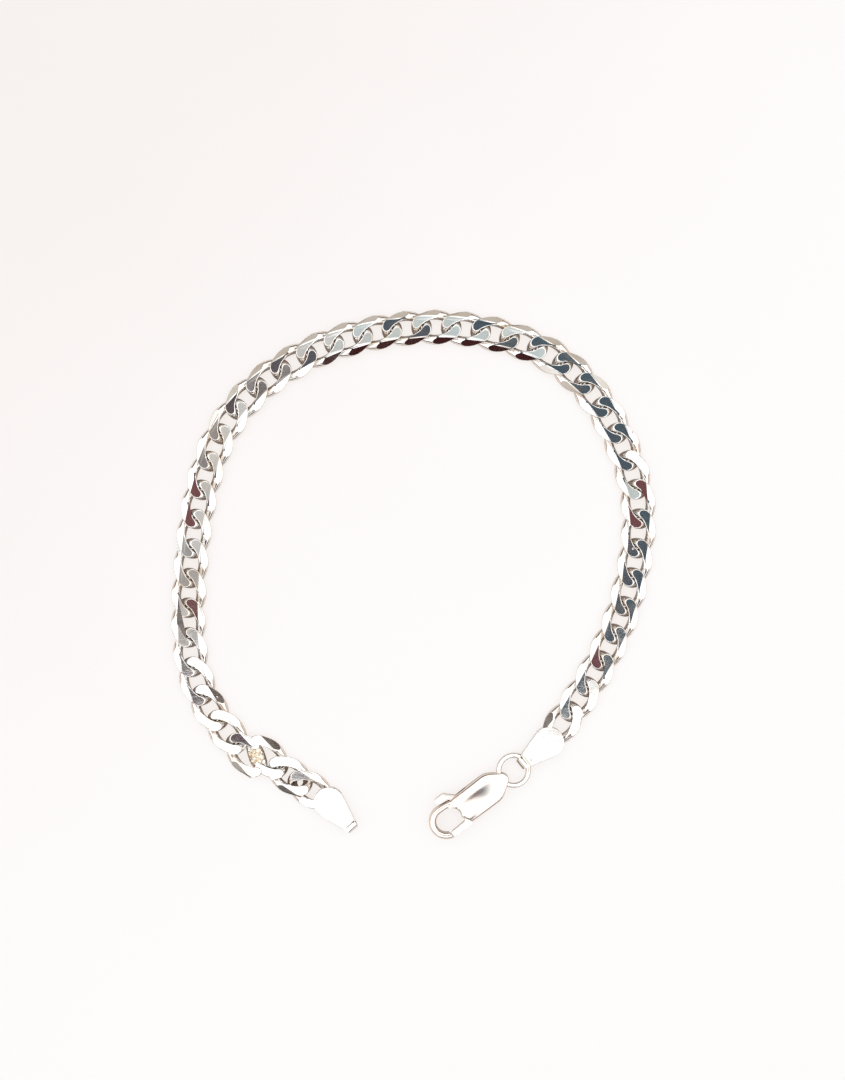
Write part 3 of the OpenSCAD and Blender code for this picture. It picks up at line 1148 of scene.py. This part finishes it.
    def _shell(self) -> Object:
        """The crowned body without its hook."""
        half = self.middle
        discs = [
            (self.tail_width / 2, 0.0, self.tail_width / 2),
            (self.shoulder_x, 0.0, self.width / 2),
            (self.waist_x, 0.0, self.waist_width / 2),
        ]
        bm = prism(hull_outline(discs), -half, half)
        round_rims(bm, self.shell_rim, 5)
        self._grid_cuts(bm)
        for vert in bm.verts:
            y = max(-self.width / 2, min(self.width / 2, vert.co.y))
            vert.co.z *= self.crown(vert.co.x, y) / half
        face_outward(bm)
        shell = new_object("clasp_shell", bm)
        carve(shell, self._opening_cutter(), "DIFFERENCE")
        carve(shell, self._lip_cutter(), "DIFFERENCE")
        return shell

    def _grid_cuts(self, bm: BMesh) -> None:
        """Cuts the slab's faces into a grid that is fine enough to crown."""
        columns = [((k * self.grid, 0, 0), (1, 0, 0)) for k in range(1, int(self.length / self.grid))]
        half = int(self.width / 2 / self.grid)
        rows = [((0, k * self.grid, 0), (0, 1, 0)) for k in range(-half, half + 1)]
        for plane in columns + rows:
            cut_through(bm, plane, self.grid_merge)

    def _hook_sides(self) -> list[tuple[Vector, Vector]]:
        """Pairs of spots on the inner and outer side of the hook's bar, from the body to its tip."""
        root = self.waist_width / 2 - self.hook_play
        pairs = []
        near = Vector((self.opening_near, 0))
        waist = Vector((self.waist_x, -root))
        bend = Vector((self.hook_x, -self.hook_radius))
        for share in (0.0, 0.25, 0.5, 0.75, 1.0):
            inner = near + self.opening_radius * aim(self.hook_root + self.hook_turn * share)
            pairs.append((inner, waist.lerp(bend, 0.2 + 0.5 * share)))
        tip = Vector((self.hook_x, self.gate_side))
        reach = (tip - self.pin).length + self.gate_tip_width / 2 + self.fit_gap
        for step in range(self.hook_steps + 1):
            share = step / self.hook_steps
            sides = []
            for radius in (self.opening_radius, self.hook_radius):
                last = self._tip_angle(radius, reach)
                sides.append(Vector((self.hook_x, 0)) + radius * aim(-90 + (last + 90) * share))
            pairs.append((sides[0], sides[1]))
        return pairs

    def _tip_angle(self, radius: float, reach: float) -> float:
        """The angle in degrees at which one side of the hook's arc ends, clear of the gate's sweep."""
        from_pin = Vector((self.hook_x, 0)) - self.pin
        return max(angle for angle in range(30, 90) if (radius * aim(angle) + from_pin).length > reach)

    def _hook(self) -> BMesh:
        """The hook, a rounded bar bent round its opening."""
        rings = []
        for inner, outer in self._hook_sides():
            ring = []
            for k in range(self.bar_sides):
                turn = math.tau * k / self.bar_sides
                wide = swell(math.cos(turn), self.bar_softness)
                tall = swell(math.sin(turn), self.bar_softness)
                spot = inner.lerp(outer, 0.5 + 0.5 * wide)
                ring.append(Vector((spot.x, spot.y, tall * self.hook_height / 2)))
            rings.append(ring)
        return loft(rings)

    def body_piece(self, name: str) -> Object:
        """Builds the body with its hook, slot and passage, as an object in its own millimetres."""
        body = self._shell()
        body.name = name
        body.data.name = name
        carve(body, self._hook(), "UNION")
        slot = self.lever_height / 2 + self.fit_gap
        hub = self.pin_d / 2 + self.hub_wall
        swing = Matrix.Rotation(-math.radians(self.lever_swing), 2)
        open_elbow = swing @ (self.elbow - self.pin)
        back = min(-hub, open_elbow.x - self.arm_width / 2) + self.pin.x - 2 * self.fit_gap
        front = (self.elbow.x + self.knob.x) / 2 + self.arm_width / 2 + self.fit_gap
        wide = 2 * self.width
        gate_end = self.opening_near
        outline = ((back, -wide), (front, -wide), (front, 0), (gate_end, 0), (gate_end, wide), (back, wide))
        carve(body, prism(outline, -slot, slot), "DIFFERENCE")
        hole = self.ring.wire / 2 + self.fit_gap
        ends = [(x, 0.0, hole) for x in (self.tail_wall + hole, self.passage_end)]
        passage = prism(hull_outline(ends, self.passage_sides), -self.width, self.width)
        bmesh.ops.rotate(passage, verts=passage.verts[:], matrix=Matrix.Rotation(math.pi / 2, 3, "X"))
        carve(body, passage, "DIFFERENCE")
        with reopened(body) as bm:
            bmesh.ops.remove_doubles(bm, verts=bm.verts[:], dist=MERGED)
            shade(bm, self.sharp_angle)
        return body

    def lever_piece(self, name: str) -> Object:
        """Builds the gate, hub, arm and knob as one object in its own millimetres."""
        half = self.lever_height / 2
        tip = (self.hook_x, self.gate_side, self.gate_tip_width / 2)
        base = (self.lip_x, self.gate_side, self.gate_base_width / 2)
        hub = (*self.pin, self.pin_d / 2 + self.hub_wall)
        elbow = (*self.elbow, self.arm_width / 2)
        turn = (*self.knob, self.arm_width / 2)
        knob = (*self.knob, self.knob_d / 2)
        knob_end = (self.knob.x + self.knob_length - self.knob_d, self.knob.y, self.knob_d / 2)
        lever = new_object(name, prism(hull_outline([tip, base]), -half, half))
        for pair in ([base, hub], [hub, elbow], [elbow, turn], [knob, knob_end]):
            carve(lever, prism(hull_outline(pair), -half, half), "UNION")
        bore = (*self.pin, self.pin_d / 2 + self.fit_gap)
        carve(lever, prism(hull_outline([bore]), -self.height, self.height), "DIFFERENCE")
        recast(lever, self.lever_voxel)
        with reopened(lever) as bm:
            soften(bm, self.lever_rounds)
            smooth(bm)
        return lever


@dataclass(frozen=True)
class Patch:
    """A patch on the dome: where it lies round and up, in degrees, how soft its ends are, its colour."""

    sides: Spot
    heights: Spot
    side_soft: float
    height_soft: float
    colour: Colour

    def mask(self, sheet: Sheet, side: NodeSocket, height: NodeSocket) -> NodeSocket:
        """1 within the patch and 0 outside it."""
        across = sheet.window(side, *self.sides, self.side_soft)
        return sheet.times(across, sheet.window(height, *self.heights, self.height_soft))


@dataclass(frozen=True)
class Studio:
    """The pale table, the soft light round it and the camera that looks straight down."""

    camera_x: float = 1.28
    camera_y: float = 4.73
    camera_height: float = 280.75
    plane_height: float = 0.75
    field_height: float = 153.36
    sensor: float = 36.0
    clip: Spot = (0.01, 10.0)
    floor_size: float = 1.6
    white: float = 1.5
    table_glow: float = 0.89
    table_gap: float = 0.00001
    shade_reach: float = 0.0025
    lamp_size: float = 0.5
    lamp_watts: float = 1.2
    lamp_spot: tuple[float, float, float] = (-0.35, 0.45, 0.7)
    card_grey: Colour = (0.08, 0.077, 0.075)
    painted_falloff_span: Spot = (-0.13, 0.05)
    card_openness: Spot = (0.2, 0.9)
    # Painted light falloff over the card: dimmer towards -x and +y, lighter towards +x and -y.
    card_painted_dim_side: Colour = srgb(243, 237, 235)
    card_painted_lit_side: Colour = srgb(252, 250, 250)
    # Painted contact shadow: the card's tone to the camera where pieces shelter it.
    card_painted_shadow: Colour = srgb(248, 241, 236)
    # Painted shade: the card as the metal mirrors it, dimmer and browner than the camera sees it.
    mirrored_painted_dim: Colour = srgb(224, 213, 206)
    # Painted shadow in reflections: the card as the metal mirrors it close by the pieces.
    mirrored_painted_shadow: Colour = srgb(84, 62, 52)
    backdrop: Colour = (0.98, 0.975, 0.97)
    ring_span: float = 40.0
    ring_end: Spot = (-0.092, -0.083)
    warm_end: Spot = (-0.10, -0.04)
    ring_angles: tuple[float, ...] = (0.0, 4.4, 5.4, 8.1, 10.1, 12.4, 13.4)
    slate_rings: tuple[Colour, ...] = (srgb(114, 72, 74), srgb(70, 86, 97), srgb(197, 208, 209))
    warm_rings: tuple[Colour, ...] = (srgb(138, 94, 92), srgb(94, 82, 84), srgb(198, 196, 193))
    front: Patch = Patch((-24.5, 25.5), (27.0, 44.0), 3.0, 3.0, srgb(38, 17, 17))
    front_lit: Colour = srgb(82, 38, 38)
    back_sides: Spot = (112.0, 138.0)
    back_heights: Spot = (14.0, 31.0)
    back_soft: float = 3.0
    back_wall: Colour = srgb(198, 188, 178)
    patches: tuple[Patch, ...] = (
        Patch((-50.0, -29.0), (27.0, 44.0), 5.0, 3.0, srgb(205, 196, 188)),
        Patch((116.0, 139.0), (34.5, 39.5), 3.0, 1.5, srgb(84, 70, 62)),
        Patch((-134.0, -116.0), (39.5, 44.0), 3.0, 1.5, srgb(84, 70, 62)),
    )
    room_heights: Spot = (-20.0, 19.5)
    room_soft: float = 3.5
    room_turn: Spot = (0.35, 0.75)
    room_sides: Colour = srgb(186, 154, 136)
    room_ends: Colour = srgb(56, 43, 36)

    def build(self) -> None:
        """Builds the whole stage."""
        self._camera()
        self._floor()
        self._dome()
        self._lamp()
        view = bpy.context.scene.view_settings
        view.view_transform = "Standard"
        view.look = "None"

    def _camera(self) -> None:
        """Sets the camera over the middle of the picture."""
        data = bpy.data.cameras.new("camera")
        data.sensor_width = self.sensor
        data.lens = self.sensor * (self.camera_height - self.plane_height) / self.field_height
        data.clip_start, data.clip_end = self.clip
        camera = bpy.data.objects.new("camera", data)
        camera.location = (self.camera_x * MM, self.camera_y * MM, self.camera_height * MM)
        bpy.context.scene.collection.objects.link(camera)
        bpy.context.scene.camera = camera

    def _floor(self) -> None:
        """Lays the pale table."""
        bm = bmesh.new()
        spot = Matrix.Translation((0, 0, -self.table_gap))
        bmesh.ops.create_grid(bm, x_segments=4, y_segments=4, size=self.floor_size / 2, matrix=spot)
        floor = new_object("table", bm)
        floor.data.materials.append(self._card())

    def _card(self) -> Material:
        """The table's pale card, which glows evenly, with a painted light falloff and a painted contact
        shadow; the metal mirrors a dimmer painted copy, browner with painted shade close by.
        """
        made = bpy.data.materials.new("pale_card")
        made.use_nodes = True
        sheet = Sheet(made.node_tree)
        where = sheet.add("TexCoord").outputs["Object"]
        # Painted light falloff: the card's tone runs along x - y, roughened a little by noise.
        x, y, _ = sheet.add("SeparateXYZ", where).outputs
        slant = sheet.maths("SUBTRACT", x, y)
        drift = sheet.maths("MULTIPLY_ADD", sheet.noise(where, 30.0, 2.0), 0.04, slant)
        card_with_painted_falloff = sheet.mix(sheet.ease(drift, *self.painted_falloff_span), self.card_painted_dim_side, self.card_painted_lit_side)
        # Painted contact shadow: ambient occlusion darkens the glowing card close by the pieces.
        shelter = sheet.add("AmbientOcclusion", samples=8, Distance=self.shade_reach)
        openness = sheet.ease(shelter.outputs["AO"], *self.card_openness)
        seen = sheet.mix(openness, self.card_painted_shadow, card_with_painted_falloff)
        # Painted shade in reflections: the metal mirrors a dimmer, browner card, darkest close by the pieces.
        mirrored = sheet.mix(openness, self.mirrored_painted_shadow, self.mirrored_painted_dim)
        path = sheet.add("LightPath")
        card = sheet.add(
            "BsdfPrincipled",
            Base_Color=self.card_grey,
            Roughness=0.75,
            Emission_Color=sheet.mix(path.outputs["Is Glossy Ray"], seen, mirrored),
            Emission_Strength=self.table_glow,
        )
        sheet.add("OutputMaterial", card.outputs[0])
        return made

    def _lamp(self) -> None:
        """Hangs one large soft lamp, which the metal doesn't mirror."""
        data = bpy.data.lights.new("soft_lamp", "AREA")
        data.shape = "DISK"
        data.size = self.lamp_size
        data.energy = self.lamp_watts
        lamp = bpy.data.objects.new("soft_lamp", data)
        lamp.location = self.lamp_spot
        downward = Vector((0, 0, 0)) - lamp.location
        lamp.rotation_euler = downward.to_track_quat("-Z", "Y").to_euler()
        lamp.visible_glossy = False
        bpy.context.scene.collection.objects.link(lamp)

    def _dome(self) -> None:
        """Wraps the table in a white tent with the few darker things that the metal mirrors."""
        world = bpy.data.worlds.new("light_tent")
        bpy.context.scene.world = world
        world.use_nodes = True
        sheet = Sheet(world.node_tree)
        where = sheet.add("TexCoord").outputs["Generated"]
        x, y, z = sheet.add("SeparateXYZ", where).outputs
        lean = sheet.times(sheet.maths("ARCCOSINE", z), 180 / math.pi)
        turn = sheet.maths("ARCTAN2", x, sheet.times(y, -1.0))
        side = sheet.times(turn, 180 / math.pi)
        tent = self._walls(sheet, where, self._zenith(sheet, where, lean), side, lean)
        light = sheet.add("Background", Color=tent, Strength=1.0)
        plain = sheet.add("Background", Color=self.backdrop, Strength=1.0)
        path = sheet.add("LightPath")
        choice = sheet.add("MixShader", path.outputs["Is Camera Ray"], light.outputs[0], plain.outputs[0])
        sheet.add("OutputWorld", choice.outputs[0])

    def _zenith(self, sheet: Sheet, where: NodeSocket, lean: NodeSocket) -> NodeSocket:
        """The rings of tones overhead, slate to one side and warmer to the other."""
        x, y, _ = sheet.add("SeparateXYZ", where).outputs
        rough = sheet.maths("MULTIPLY_ADD", sheet.noise(where, 22.0, 3.0), 1.6, -0.8)
        shifted = sheet.times(sheet.maths("ADD", lean, rough), 1 / self.ring_span)
        warm, slate = (sheet.ramp(shifted, self._stops(*c)) for c in (self.warm_rings, self.slate_rings))
        zenith = sheet.mix(sheet.ease(x, *self.warm_end), warm, slate)
        return sheet.mix(sheet.ease(y, *self.ring_end), (self.white,) * 3, zenith)

    def _walls(
        self, sheet: Sheet, where: NodeSocket, tent: NodeSocket, side: NodeSocket, lean: NodeSocket
    ) -> NodeSocket:
        """Adds what stands round the table to the tent.

        Args:
            sheet: The world's nodes.
            where: The direction that is looked in.
            tent: The tent's colour so far.
            side: How far round the direction lies, in degrees, 0 towards -y.
            lean: How far down from the zenith it lies, in degrees.

        Returns:
            The tent's colour.
        """
        height = sheet.maths("SUBTRACT", 90.0, lean)
        dark = sheet.mix(sheet.noise(where, 7.0, 2.0), self.front.colour, self.front_lit)
        tent = sheet.mix(self.front.mask(sheet, side, height), tent, dark)
        behind = sheet.ease(sheet.maths("ABSOLUTE", side), *self.back_sides)
        wall = sheet.times(behind, sheet.window(height, *self.back_heights, self.back_soft))
        tent = sheet.mix(wall, tent, self.back_wall)
        for patch in self.patches:
            tent = sheet.mix(patch.mask(sheet, side, height), tent, patch.colour)
        facing = sheet.maths("ABSOLUTE", sheet.maths("COSINE", sheet.times(side, math.pi / 180)))
        room = sheet.mix(sheet.ease(facing, *self.room_turn), self.room_sides, self.room_ends)
        return sheet.mix(sheet.window(height, *self.room_heights, self.room_soft), tent, room)

    def _stops(self, inner: Colour, dark: Colour, pale: Colour) -> list[tuple[float, Colour]]:
        """The rings' colours by their angle from the zenith, in shares of the rings' span."""
        colours = (inner, inner, dark, dark, pale, pale, (self.white,) * 3)
        return [(angle / self.ring_span, colour) for angle, colour in zip(self.ring_angles, colours)]


@dataclass
class Bracelet:
    """The whole bracelet, from the left cap round to the clasp."""

    route: Route
    link: CurbLink
    cap: EndCap
    clasp: TriggerClasp
    solder: SolderLump
    rear_cuts: str = "WWWWWWDDGGGGMMGGDSDLLLDLLDLDDDDDWMDDDDDDSW"
    front_cuts: str = "BWWBWWLGMGLLLLLLSGDLLLDLLDLDDDDDLMDDDDBDDW"
    odd_bevels: dict[int, tuple[float, float]] = field(
        default_factory=lambda: {2: (32.4, 30.0), 4: (31.8, 27.5), 5: (30.0, 27.5), 42: (30.0, 27.5)}
    )
    bow_middle: Spot = (1.28, 4.73)
    cap_reach: float = 3.2
    left_cap_turn: float = -14.0
    right_cap_turn: float = -14.5
    clasp_turn: float = -1.8
    seed: int = 11
    lean_play: float = 0.15
    slip_play: float = 0.5
    materials: dict[str, Material] = field(default_factory=dict)

    def build(self) -> None:
        """Builds and dresses every piece."""
        self._links()
        self._solder()
        self._caps()
        self._ring_and_clasp()

    def _material(self, finish: Silver) -> Material:
        """A finish's material, built when it is first asked for."""
        if finish.name not in self.materials:
            self.materials[finish.name] = finish.material()
        return self.materials[finish.name]

    def _settle(
        self, made: Object, node: str, finishes: Iterable[Silver], body: str = BODY
    ) -> None:
        """Gives a placed piece its finish, and ties it to the frame.

        Args:
            made: The piece, placed in metres.
            node: The CAD node that it stands for.
            finishes: The finishes, in the order of the mesh's material numbers.
            body: The body that it moves with.
        """
        for finish in finishes:
            made.data.materials.append(self._material(finish))
        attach(made, body)
        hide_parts(node)
        corners = [Vector(corner) for corner in made.bound_box]
        middle = sum(corners, Vector()) / 8
        low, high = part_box(node)
        off = (middle - (low + high) / 2).length / MM
        faces = len(made.data.polygons)
        log.info("%s for %s: %d faces, middle off by %.2f mm", made.name, node, faces, off)

    def _node_of(self, number: int) -> str:
        """The CAD node that holds a link."""
        if number == 1:
            return "end_cap_left"
        if number == self.route.link_count:
            return "end_cap_right"
        if number in (self.route.first_link - 1, self.route.first_link):
            return "soldered_links"
        return f"link_{number:02d}"

    def _links(self) -> None:
        """Builds the chain's links, each cut with its own small lean."""
        chance = random.Random(self.seed)
        for number in range(1, self.route.link_count + 1):
            place = self.route.link_place(number)
            x, y = self.bow_middle
            outward = place.own_direction(place.x - x, place.y - y).normalized()
            sideways = Vector((-outward.y, outward.x, 0.0))
            slopes = []
            for cuts in (self.rear_cuts, self.front_cuts):
                play = chance.uniform(-self.lean_play, self.lean_play)
                lean = math.radians(CUT_LETTERS[cuts[number - 1]].value + play)
                slip = math.radians(chance.uniform(-self.slip_play, self.slip_play))
                slopes.append(outward * math.tan(lean) + sideways * math.tan(slip))
            bevels = self.odd_bevels.get(number, (self.link.bevel_slope, self.link.bevel_slope))
            bm = self.link.body(Grind(*slopes, *bevels))
            bm.transform(place.into_frame(self.link.height / 2))
            made = new_object(f"curb_link_{number:02d}", bm)
            node = self._node_of(number)
            self._settle(made, node, (WIRE_SILVER, CUT_SILVER))

    def _solder(self) -> None:
        """Sets the lump of solder between the two links that lie side by side."""
        second = self.route.link_place(self.route.first_link)
        first = self.route.link_place(self.route.first_link - 1)
        place = Place((first.x + second.x) / 2, (first.y + second.y) / 2, second.turn)
        lump = self.solder.piece("solder_lump")
        lump.data.transform(place.into_frame(self.link.height / 2 + self.solder.rise))
        self._settle(lump, "soldered_links", (SOLDER_SILVER,))

    @property
    def _right_cap_place(self) -> Place:
        """The place of the right cap's round end, heading towards its fold."""
        return self.route.link_place(self.route.link_count).stepped(self.cap_reach, 0.0, self.right_cap_turn)

    def _caps(self) -> None:
        """Closes a cap over each end link."""
        left = self.route.link_place(1).stepped(-self.cap_reach, 0.0, 180 + self.left_cap_turn)
        for name, place, node in (
            ("cap_plate_left", left, "end_cap_left"),
            ("cap_plate_right", self._right_cap_place, "end_cap_right"),
        ):
            bm = self.cap.body()
            bm.transform(place.into_frame())
            self._settle(new_object(name, bm), node, (CAP_SILVER,))

    def _ring_and_clasp(self) -> None:
        """Hangs the jump ring in the right cap's fold, and the clasp on the ring."""
        ring = self.clasp.ring
        cap_middle = self.cap.height / 2
        tilt = math.degrees(math.asin((self.clasp.middle - cap_middle) / (2 * ring.radius)))
        run = ring.radius * math.cos(math.radians(tilt))
        narrow = self.cap.fold_width / 2
        eye = narrow + cap_middle * (self.cap.round_radius - narrow) / self.cap.fold_x
        sag = ring.radius - math.sqrt(ring.radius**2 - eye**2)
        ring_place = self._right_cap_place.stepped(self.cap.fold_axis - sag + run, 0.0, self.clasp_turn)
        bm = ring.body(tilt)
        bm.transform(ring_place.into_frame((cap_middle + self.clasp.middle) / 2))
        self._settle(new_object("round_jump_ring", bm), "jump_ring", (RING_SILVER,))
        clasp_place = ring_place.stepped(run - self.clasp.passage_end, 0.0)
        body = self.clasp.body_piece("trigger_clasp_body")
        body.data.transform(clasp_place.into_frame(self.clasp.middle))
        self._settle(body, "clasp_body", (CLASP_SILVER,))
        lever = self.clasp.lever_piece("trigger_lever")
        lever.data.transform(clasp_place.into_frame(self.clasp.middle))
        self._settle(lever, "clasp_lever", (CLASP_SILVER,), LEVER_BODY)
        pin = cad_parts["clasp_pin"]
        pin.data.materials.clear()
        pin.data.materials.append(self._material(PIN_STEEL))


def main() -> None:
    """Builds the stage and the bracelet."""
    logging.basicConfig(level=logging.INFO, format="%(name)s: %(message)s")
    Studio().build()
    Bracelet(Route(), CurbLink(), EndCap(), TriggerClasp(), SolderLump()).build()


if __name__ == "__main__":
    main()
